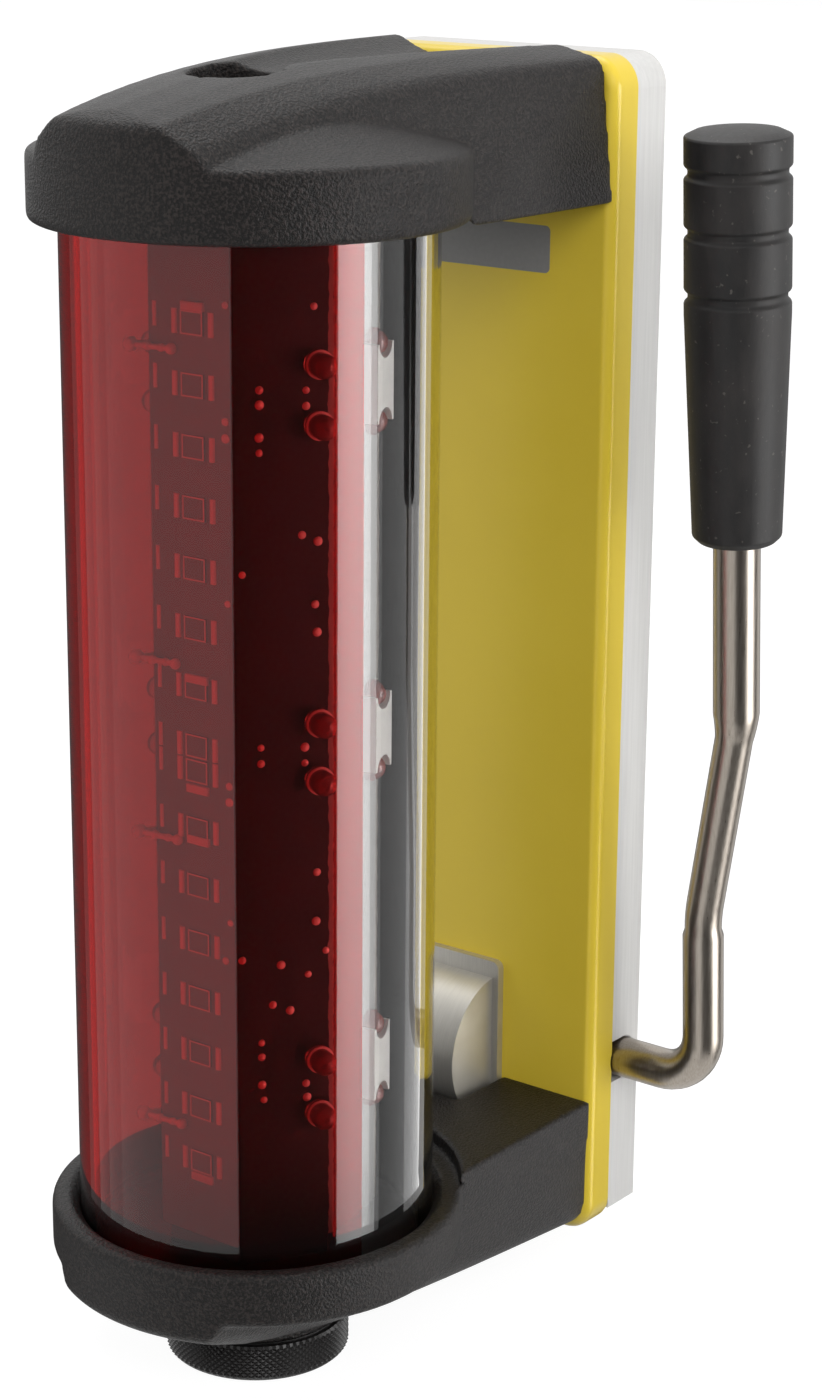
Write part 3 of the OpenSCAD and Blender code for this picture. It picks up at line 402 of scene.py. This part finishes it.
def knurled_cap():
    """The battery cap: a diamond knurl round its rim, chamfered edges and the plug above."""
    radius = (KNOB_HIGH.x - KNOB_LOW.x) / 2
    knob_h, plug_r, hub_r = 7.8 * MM, 16 * MM, 0.3 * radius
    knob_top = KNOB_LOW.z + knob_h
    chamfer, depth, teeth, rows = 0.6 * MM, 0.5 * MM, 80, 10
    knurl_low, knurl_high = KNOB_LOW.z + chamfer, knob_top - chamfer
    bm = bmesh.new()
    bmesh.ops.create_cone(bm, cap_ends=False, segments=2 * teeth, radius1=radius - depth,
                          radius2=radius - depth, depth=knurl_high - knurl_low,
                          matrix=Matrix.Translation((0, AXIS_Y, (knurl_low + knurl_high) / 2)))
    upright = [e for e in bm.edges if abs(e.verts[0].co.z - e.verts[1].co.z) > MM]
    bmesh.ops.subdivide_edges(bm, edges=upright, cuts=rows - 1, use_grid_fill=True)
    valleys = []
    for v in bm.verts:
        column = round(math.atan2(v.co.y - AXIS_Y, v.co.x) / math.tau * 2 * teeth)
        row = round((v.co.z - knurl_low) / (knurl_high - knurl_low) * rows)
        if (column + row) % 2:
            v.co += Vector((v.co.x, v.co.y - AXIS_Y, 0)).normalized() * depth
        else:
            valleys.append(v)
    bmesh.ops.connect_verts(bm, verts=valleys)
    for z, outward in ((knurl_low, -1), (knurl_high, 1)):
        rim = [e for e in bm.edges if e.is_boundary and abs(e.verts[0].co.z - z) < 0.1 * MM]
        for step_r, step_z in ((radius - chamfer, chamfer), (hub_r, chamfer)):
            ring = bmesh.ops.extrude_edge_only(bm, edges=rim)["geom"]
            for v in (g for g in ring if isinstance(g, bmesh.types.BMVert)):
                flat = Vector((v.co.x, v.co.y - AXIS_Y, 0)).normalized() * step_r
                v.co = (flat.x, flat.y + AXIS_Y, z + outward * step_z)
            rim = [g for g in ring if isinstance(g, bmesh.types.BMEdge) and g.is_boundary]
        bmesh.ops.contextual_create(bm, geom=rim)
    plug_high = KNOB_HIGH.z
    bmesh.ops.create_cone(bm, cap_ends=True, segments=96, radius1=plug_r, radius2=plug_r,
                          depth=plug_high - knob_top + MM,
                          matrix=Matrix.Translation((0, AXIS_Y, (plug_high + knob_top - MM) / 2)))
    bmesh.ops.recalc_face_normals(bm, faces=bm.faces)
    finish_piece("knurled_cap", bm, black_anodised, "battery_cap", ("battery_cap",),
                 sharp=20)


def board_frame(angle, face=BOARD_FACE):
    """Axes on a board's face, at an angle round the tube from the front: across, up and outwards."""
    turn = math.radians(angle)
    outward = Vector((math.sin(turn), -math.cos(turn), 0))
    axes = Matrix((Vector((math.cos(turn), math.sin(turn), 0)), UP, outward)).transposed().to_4x4()
    return Matrix.Translation(Vector((0, AXIS_Y, 0)) + outward * face) @ axes


def add_block(bm, frame_axes, across, height, width, length, depth):
    """A small block that sits on a board's face."""
    middle = Matrix.Translation((across, height, depth / 2))
    size = Matrix.Diagonal((width, length, depth, 1))
    bmesh.ops.create_cube(bm, size=1, matrix=frame_axes @ middle @ size)


def add_blob(bm, frame_axes, across, height, radius):
    """A domed blob of solder on a board's face."""
    place = frame_axes @ Matrix.Translation((across, height, 0)) @ Matrix.Diagonal((1, 1, 0.7, 1))
    bmesh.ops.create_uvsphere(bm, u_segments=14, v_segments=8, radius=radius, matrix=place)


def sensor_chips():
    """The light sensors: flat chips on the front and left boards."""
    bm = bmesh.new()
    for angle in SENSOR_ANGLES:
        for height in SENSOR_HEIGHTS:
            add_block(bm, board_frame(angle), SENSOR_ACROSS, height, SENSOR_W, SENSOR_H, SENSOR_T)
    finish_piece("sensor_chips", bm, diode_resin, "receiver", ("photodiodes",))


def sensor_edge_highlights():
    """A fine pale line round the window of each sensor, drawn in the chips' ceramic: a painted highlight on
    the sensor's edges.
    """
    line_w, line_t, level_line = 0.3 * MM, 0.1 * MM, 5.2 * MM
    half_w, half_h = (SENSOR_W - line_w) / 2, (SENSOR_H - line_w) / 2
    bm = bmesh.new()
    for angle in SENSOR_ANGLES:
        axes = board_frame(angle, BOARD_FACE + SENSOR_T)
        for height in SENSOR_HEIGHTS:
            for side in (-1, 1):
                add_block(bm, axes, SENSOR_ACROSS + side * half_w, height, line_w, SENSOR_H, line_t)
                add_block(bm, axes, SENSOR_ACROSS, height + side * half_h, level_line, line_w, line_t)
    finish_piece("sensor_edge_highlights", bm, ceramic, "receiver")


def sensor_pads():
    """The upright fillets of solder beside each sensor, and the joints near the front board's left edge."""
    pad_reach, pad_r, pad_length, pad_squash = 4.65 * MM, 0.7 * MM, 4.8 * MM, 0.75
    corner_across, corner_rise, corner_r = -8.8 * MM, 0.9 * MM, 0.5 * MM
    rows = [(angle, SENSOR_ACROSS + side * pad_reach, 0, pad_r)
            for angle in SENSOR_ANGLES for side in (-1, 1)]
    rows.append((FRONT_TURN, corner_across, corner_rise, corner_r))
    fillet = Matrix.Rotation(math.pi / 2, 4, "X") @ Matrix.Diagonal((1, pad_squash, 1, 1))
    bm = bmesh.new()
    for angle, across, rise, radius in rows:
        for height in SENSOR_HEIGHTS:
            axes = board_frame(angle) @ Matrix.Translation((across, height + rise, 0))
            bmesh.ops.create_cone(bm, cap_ends=True, segments=14, radius1=radius, radius2=radius,
                                  depth=pad_length, matrix=axes @ fillet)
    finish_piece("sensor_pads", bm, solder, "receiver", sharp=50)


def lamp_rim_glints():
    """A ring at the foot of each lamp on the right board, drawn in the white-painted solder: a painted
    highlight for the glint on the rim of the lamp's clear dome.
    """
    lamp_low, lamp_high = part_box("status_leds")
    middle = (lamp_low.z + lamp_high.z) / 2
    across, group_step, half_gap = 7 * MM, 72.1 * MM, 6 * MM
    section = ((2.9 * MM, 1.0 * MM), (2.9 * MM, 1.4 * MM), (2.5 * MM, 1.4 * MM))
    bm = bmesh.new()
    for group in (-1, 0, 1):
        for side in (-1, 1):
            height = middle + group_step * group + half_gap * side
            axes = board_frame(RIGHT_TURN) @ Matrix.Translation((across, height, 0))
            rim = [bm.verts.new(axes @ Vector((r, 0, h))) for r, h in section]
            edges = [bm.edges.new(rim[i:i + 2]) for i in (0, 1)]
            bmesh.ops.spin(bm, geom=rim + edges, cent=axes.translation, axis=axes.to_3x3().col[2],
                           angle=math.tau, steps=32, use_merge=True)
    bmesh.ops.recalc_face_normals(bm, faces=bm.faces)
    finish_piece("lamp_rim_glints", bm, solder, "receiver", sharp=60)


def board_chips():
    """Small ceramic chips between the sensors of the front board, by their heights in mm."""
    across, width, length, depth, ease = 1.3 * MM, 5.6 * MM, 1.7 * MM, 0.8 * MM, 0.1 * MM
    bm = bmesh.new()
    for height in (86.7, 12.4, -10.5, -21.3, -95.2):
        add_block(bm, board_frame(FRONT_TURN), across, height * MM, width, length, depth)
    bmesh.ops.bevel(bm, geom=bm.edges[:], offset=ease, affect="EDGES", segments=2, profile=0.5, material=-1)
    finish_piece("board_chips", bm, ceramic, "receiver", sharp=60)


def solder_joints():
    """Solder joints on the front and right boards, by their places across and up in mm, in three sizes."""
    front = [(9.2, 87.6), (9.0, 65.1), (9.0, 61.8), (9.2, 29), (9.2, -8.4), (9.2, -11.7), (9.2, -37.2),
             (7.9, -45.6)]
    right = [(6.2, 86.7), (-4.9, 71.1), (-4.9, 68.2), (4.6, 70.5), (4.6, 67.4), (-5, 61.8), (-5, 58.8),
             (3.7, 41.9), (7, 40.4), (-8.6, 34.9), (6.4, 27.7), (6.8, 22), (-5, -0.7), (-5, -4),
             (4.2, -1.5), (4.2, -4.8), (6.7, -28.2), (6.5, -38.7), (8.6, -45.3), (-9.2, -45.1),
             (-1, -47.2), (4.8, -50), (-2.8, -55.6), (0.9, -57.3), (-5.2, -63.6), (-5.2, -66.7),
             (-5.2, -72.8), (-4.8, -76.2), (4.3, -73.9), (4.5, -77)]
    blob_sizes = (0.75, 0.85, 0.95)
    bm = bmesh.new()
    for angle, joints in ((FRONT_TURN, front), (RIGHT_TURN, right)):
        for count, (across, height) in enumerate(joints):
            add_blob(bm, board_frame(angle), across * MM, height * MM, blob_sizes[count % 3] * MM)
    bmesh.ops.recalc_face_normals(bm, faces=bm.faces)
    finish_piece("solder_joints", bm, solder, "receiver", sharp=180)


def add_wire(bm, start, end, radius, drop):
    """A round wire between two points, with a drop of solder at its end."""
    run = end - start
    turn = run.to_track_quat("Z", "Y").to_matrix().to_4x4()
    bmesh.ops.create_cone(bm, cap_ends=True, segments=12, radius1=radius, radius2=radius, depth=run.length,
                          matrix=Matrix.Translation((start + end) / 2) @ turn)
    bmesh.ops.create_uvsphere(bm, u_segments=16, v_segments=10, radius=drop, matrix=Matrix.Translation(end))


def wire_links():
    """Wire links that loop over the corner from the front board to the left one, with drops of solder.
    A stop on their route is a board, and in mm the places across and outwards and the size of the drop."""
    wire_r = 0.6 * MM
    front, left = board_frame(FRONT_TURN), board_frame(LEFT_TURN)
    route = [(front, -4.1, 0, 0), (front, -4.2, 0.5, 1.15), (front, -6.6, 0.7, 0.85), (front, -9.8, 1, 0.95),
             (left, 9.8, 3.6, 1.5), (left, 7.5, 0.3, 0.8)]
    bm = bmesh.new()
    for height in (77.9, 14.7, -22.2, -84.5):
        stops = [(axes @ Vector((across * MM, height * MM, out * MM)), r * MM)
                 for axes, across, out, r in route]
        for (start, _), (end, drop) in zip(stops, stops[1:]):
            add_wire(bm, start, end, wire_r, drop)
    finish_piece("wire_links", bm, solder, "receiver", ("board_links",), sharp=50)


def frayed_edges():
    """Bare glass fibre along the sawn edges of the right and rear boards."""
    strip_w, lift, sway, tufts_per_m = 1.1 * MM, 0.04 * MM, 0.35 * MM, 900
    right_edge, rear_width = 9.75 * MM, 18.2 * MM
    edges = ((board_frame(RIGHT_TURN), right_edge),
             (board_frame(REAR_TURN, REAR_FACE), REAR_START + rear_width))
    length = BOARD_HIGH - BOARD_LOW
    bm = bmesh.new()
    for axes, across in edges:
        place = axes @ Matrix.Translation((across, (BOARD_LOW + BOARD_HIGH) / 2, lift))
        strip = bmesh.ops.create_grid(bm, x_segments=1, y_segments=400, size=0.5,
                                      matrix=place @ Matrix.Diagonal((strip_w, length, 1, 1)))
        for v in strip["verts"]:
            v.co += axes.to_3x3().col[0] * noise.noise(v.co * tufts_per_m) * sway
    finish_piece("frayed_edges", bm, frayed_fibre, "receiver")


def blank_label():
    """A blank silver label on the plate, its upper edge under the top cap's arm."""
    width, thickness, height, middle, corner = 39.4 * MM, 0.08 * MM, 10 * MM, 89.2 * MM, 1.2 * MM
    bm = bmesh.new()
    bmesh.ops.create_cube(bm, size=1, matrix=Matrix.Translation((0, PLATE_FRONT - thickness / 2, middle))
                          @ Matrix.Diagonal((width, thickness, height, 1)))
    corners = [e for e in bm.edges if abs(e.verts[0].co.y - e.verts[1].co.y) > thickness / 2]
    bmesh.ops.bevel(bm, geom=corners, offset=corner, affect="EDGES", segments=6, profile=0.5, material=-1)
    finish_piece("blank_label", bm, label_stock, "receiver")


moulded_copy("top_cap_moulding", "top_cap", black_abs)
moulded_copy("bottom_cap_moulding", "bottom_cap", black_abs)
eased_copy("plate_moulding", "back_plate", yellow_abs, "receiver")
eased_copy("slab", "magnet_base", slab_aluminium, "receiver")
eased_copy("lever_cover", "pivot_housing", cover_silver, "receiver", ease=0.5 * MM)
eased_copy("bent_rod", "lever_rod", stainless, "lever")
eased_copy("rubber_grip", "lever_grip", rubber, "lever", ease=0.35 * MM)
spun_tube()
film_layer("bonded_film", FILM_LEFT, FILM_RIGHT, FILM_DEPTH, red_film, ("red_filter",))
film_layer("film_lap", FILM_LEFT, LAP_END, LAP_DEPTH, grey_film)
film_layer("film_second_lap", FILM_LEFT, SECOND_LAP_END, SECOND_LAP_DEPTH, grey_film)
knurled_cap()
sensor_chips()
sensor_edge_highlights()
sensor_pads()
lamp_rim_glints()
board_chips()
solder_joints()
wire_links()
frayed_edges()
blank_label()

for node, material in {
        "magnet_cups": zinc, "magnet_cores": ferrite, "magnet_screws": zinc, "base_screws": zinc,
        "arm_screws": zinc, "release_cam": zinc, "cam_pin": zinc, "shaft_bushes": bronze,
        "rear_lining": black_film, "top_gasket": seal_rubber, "bottom_gasket": seal_rubber,
        "cap_seal": seal_rubber,
        "board_carrier": dark_carrier, "front_board": board, "left_board": board, "right_board": dark_board,
        "rear_boards": pale_board, "status_leds": lamp_resin,
        "led_spacers": white_plastic, "battery_cells": zinc, "cell_contact": tinned,
        "contact_spring": tinned, "power_button": rubber, "power_switch": dark_carrier}.items():
    dress(node, material)


# Stage, lights and camera

def stage_piece(name, bm, material):
    """Turns a bmesh into a piece of the studio: the floor or a card."""
    mesh = bpy.data.meshes.new(name)
    bm.to_mesh(mesh)
    bm.free()
    mesh.materials.append(material)
    piece = bpy.data.objects.new(name, mesh)
    bpy.context.scene.collection.objects.link(piece)
    return piece


def facing(place, aim):
    """Turns +Z from a place towards the point it is aimed at."""
    turn = (Vector(aim) - Vector(place)).to_track_quat("Z", "Y").to_matrix().to_4x4()
    return Matrix.Translation(place) @ turn


def white_stage():
    """A white floor that keeps a faint shadow, and a surround that is white behind the object."""
    paper, tree, shader = new_material("white_paper", Base_Color=colour("#6e6e6e"), Roughness=0.9,
                                       Emission_Color=(1, 1, 1, 1))
    seen = add(tree, "LightPath").outputs["Is Camera Ray"]
    glow = add(tree, "MapRange", {"Value": seen, "To Min": 0, "To Max": 0.93})
    tree.links.new(glow.outputs["Result"], shader.inputs["Emission Strength"])
    bm = bmesh.new()
    bmesh.ops.create_grid(bm, x_segments=1, y_segments=1, size=FLOOR_SIZE / 2,
                          matrix=Matrix.Translation((0, 0, FLOOR_Z - FLOOR_GAP)))
    floor = stage_piece("floor", bm, paper)
    floor.visible_glossy = floor.visible_transmission = False

    world = bpy.data.worlds.new("studio_surround")
    world.use_nodes = True
    bpy.context.scene.world = world
    tree = world.node_tree
    path = add(tree, "LightPath")
    mirrored = add(tree, "Math", {0: path.outputs["Is Glossy Ray"], 1: path.outputs["Is Transmission Ray"]},
                   operation="MAXIMUM")
    seen = add(tree, "Math", {0: path.outputs["Is Camera Ray"], 1: mirrored.outputs["Value"]},
               operation="MAXIMUM")
    strength = add(tree, "MapRange", {"Value": seen.outputs["Value"], "To Min": 0.25, "To Max": 1})
    tree.links.new(strength.outputs["Result"], tree.nodes["Background"].inputs["Strength"])
    tree.nodes["Background"].inputs["Color"].default_value = (1, 1, 1, 1)


def curved_card(name, start, end, grey, top=-0.08, through=False):
    """An upright card curved round the object, between two angles counted from the front.
    It only shows in gloss, or also through the tube."""
    felt, _, _ = new_material(name + "_felt", Base_Color=(0, 0, 0, 1), Roughness=1.0, Specular_IOR_Level=0.0,
                              Emission_Color=(grey, grey, grey, 1), Emission_Strength=1.0)
    turn = math.radians(start)
    bm = bmesh.new()
    ends = [bm.verts.new((CARD_R * math.sin(turn), AXIS_Y - CARD_R * math.cos(turn), z))
            for z in (CARD_FOOT, top)]
    bmesh.ops.spin(bm, geom=ends + [bm.edges.new(ends)], cent=(0, AXIS_Y, 0), axis=UP,
                   angle=math.radians(end - start), steps=24)
    card = stage_piece(name, bm, felt)
    card.visible_camera = card.visible_diffuse = card.visible_shadow = False
    card.visible_transmission = through


def softbox(name, place, aim, width, height, power, in_gloss=True, spread=180):
    """A soft rectangular lamp that faces its aim. A narrow spread fades it towards steep angles."""
    lamp = bpy.data.lights.new(name, "AREA")
    lamp.shape = "RECTANGLE"
    lamp.size, lamp.size_y = width, height
    lamp.energy = power
    lamp.spread = math.radians(spread)
    box = bpy.data.objects.new(name, lamp)
    box.matrix_world = facing(place, aim) @ Matrix.Rotation(math.pi, 4, "Y")
    box.visible_camera = False
    box.visible_glossy = box.visible_transmission = in_gloss
    bpy.context.scene.collection.objects.link(box)


white_stage()
# Cards by the angles where they start and end, and their grey
curved_card("right_black_card", 29, 92, 0.06, top=0.8, through=True)
for start, end, grey in ((-180, -95, 0.08), (-95, -80, 0.22), (-80, -68, 0.55), (-68, -55, 0.8)):
    curved_card(f"left_card_{-end}", start, end, grey)
curved_card("rear_black_card", 125, 150, 0.05)
# Lamps by their place, their aim, their width and height, and their power
softbox("side_softbox", (1.045, 0.217, -0.15), (0, AXIS_Y, -0.05), 0.54, 1.2, 2.1, spread=66)
softbox("top_softbox", (-0.3, 0.1, 1.2), (0, -0.08, 0.1), 0.9, 0.9, 8)
softbox("right_softbox", (1.0, -0.75, 0.6), (0.02, -0.03, 0.03), 0.9, 0.9, 11, in_gloss=False)
softbox("front_softbox", (-0.75, -1.1, 0.1), (0, AXIS_Y, 0.0), 1.4, 1.6, 7, in_gloss=False)

# Where the photograph was taken from, fitted to the edges of the tube, the caps and the plate
CAMERA_PLACE = Vector((0.3941, -0.5543, 0.1796))
CAMERA_BACK = Vector((0.5841, -0.7623, 0.2787)).normalized()
CAMERA_ROLL = math.radians(0.45)
FOCAL_LENGTH = 79.52
side = UP.cross(CAMERA_BACK).normalized()
upward = CAMERA_BACK.cross(side)
turned_side = side * math.cos(CAMERA_ROLL) + upward * math.sin(CAMERA_ROLL)
turned_up = upward * math.cos(CAMERA_ROLL) - side * math.sin(CAMERA_ROLL)
lens = bpy.data.cameras.new("camera")
lens.lens = FOCAL_LENGTH
lens.clip_start, lens.clip_end = 0.01, 20
camera = bpy.data.objects.new("camera", lens)
camera.matrix_world = Matrix((turned_side, turned_up, CAMERA_BACK)).transposed().to_4x4()
camera.location = CAMERA_PLACE
bpy.context.scene.collection.objects.link(camera)
bpy.context.scene.camera = camera
bpy.context.scene.view_settings.view_transform = "Standard"
